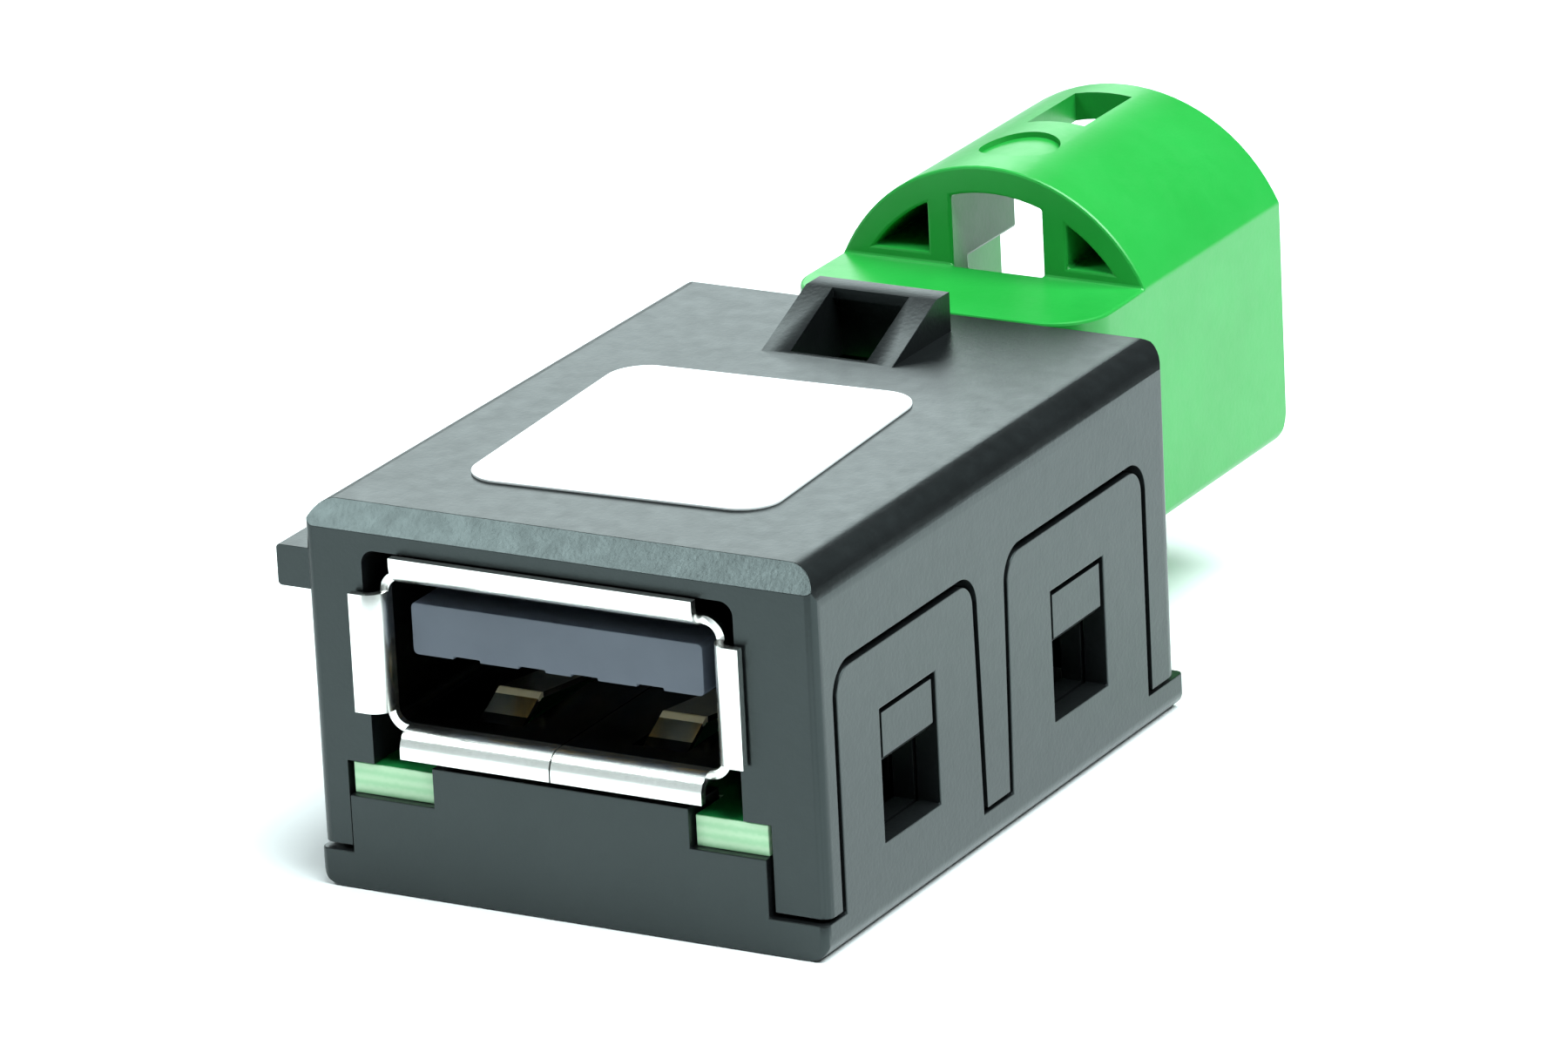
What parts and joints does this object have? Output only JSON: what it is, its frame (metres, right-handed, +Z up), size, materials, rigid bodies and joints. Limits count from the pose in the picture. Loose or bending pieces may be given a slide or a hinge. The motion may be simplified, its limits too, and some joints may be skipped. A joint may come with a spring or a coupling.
{
  "type": "car usb socket",
  "caption": "Snap-closed black socket module with a type A front mouth, a guide rail and panel catch, and a green keyed data connector behind.",
  "frame": {"origin": "middle of the flat seating face under the base plate", "axes": "+Z up, -Y out of the socket's mouth, +Y out of the rear connector, +X to the right seen from the front"},
  "size_m": [0.0206, 0.0414, 0.0172],
  "materials": {
    "black_plastic": "satin black moulding",
    "label_paper": "bare white sticker",
    "board_laminate": "pale green laminate",
    "shell_metal": "bright nickel-plated sheet",
    "tongue_plastic": "lilac-grey moulding",
    "contact_gold": "gold-plated contact",
    "green_plastic": "bright green satin moulding",
    "core_plastic": "natural white moulding",
    "chip_ferrite": "dull dark ferrite",
    "chip_plastic": "matt black package",
    "chip_ceramic": "tan ceramic"
  },
  "bodies": {
    "root": {"upper_housing": "black_plastic", "lower_cover": "black_plastic", "label": "label_paper", "circuit_board": "board_laminate", "usb_shell": "shell_metal", "usb_insulator": "tongue_plastic", "rear_shroud": "green_plastic", "rear_shield": "shell_metal", "rear_insulator": "core_plastic", "data_choke": "chip_ferrite", "surge_array": "chip_plastic", "bypass_cap_1": "chip_ceramic", "bypass_cap_2": "chip_ceramic", "usb_contact_1": "contact_gold", "rear_pin_1": "contact_gold", "usb_contact_2": "contact_gold", "rear_pin_2": "contact_gold", "usb_contact_3": "contact_gold", "rear_pin_3": "contact_gold", "usb_contact_4": "contact_gold", "rear_pin_4": "contact_gold"}
  },
  "joints": []
}
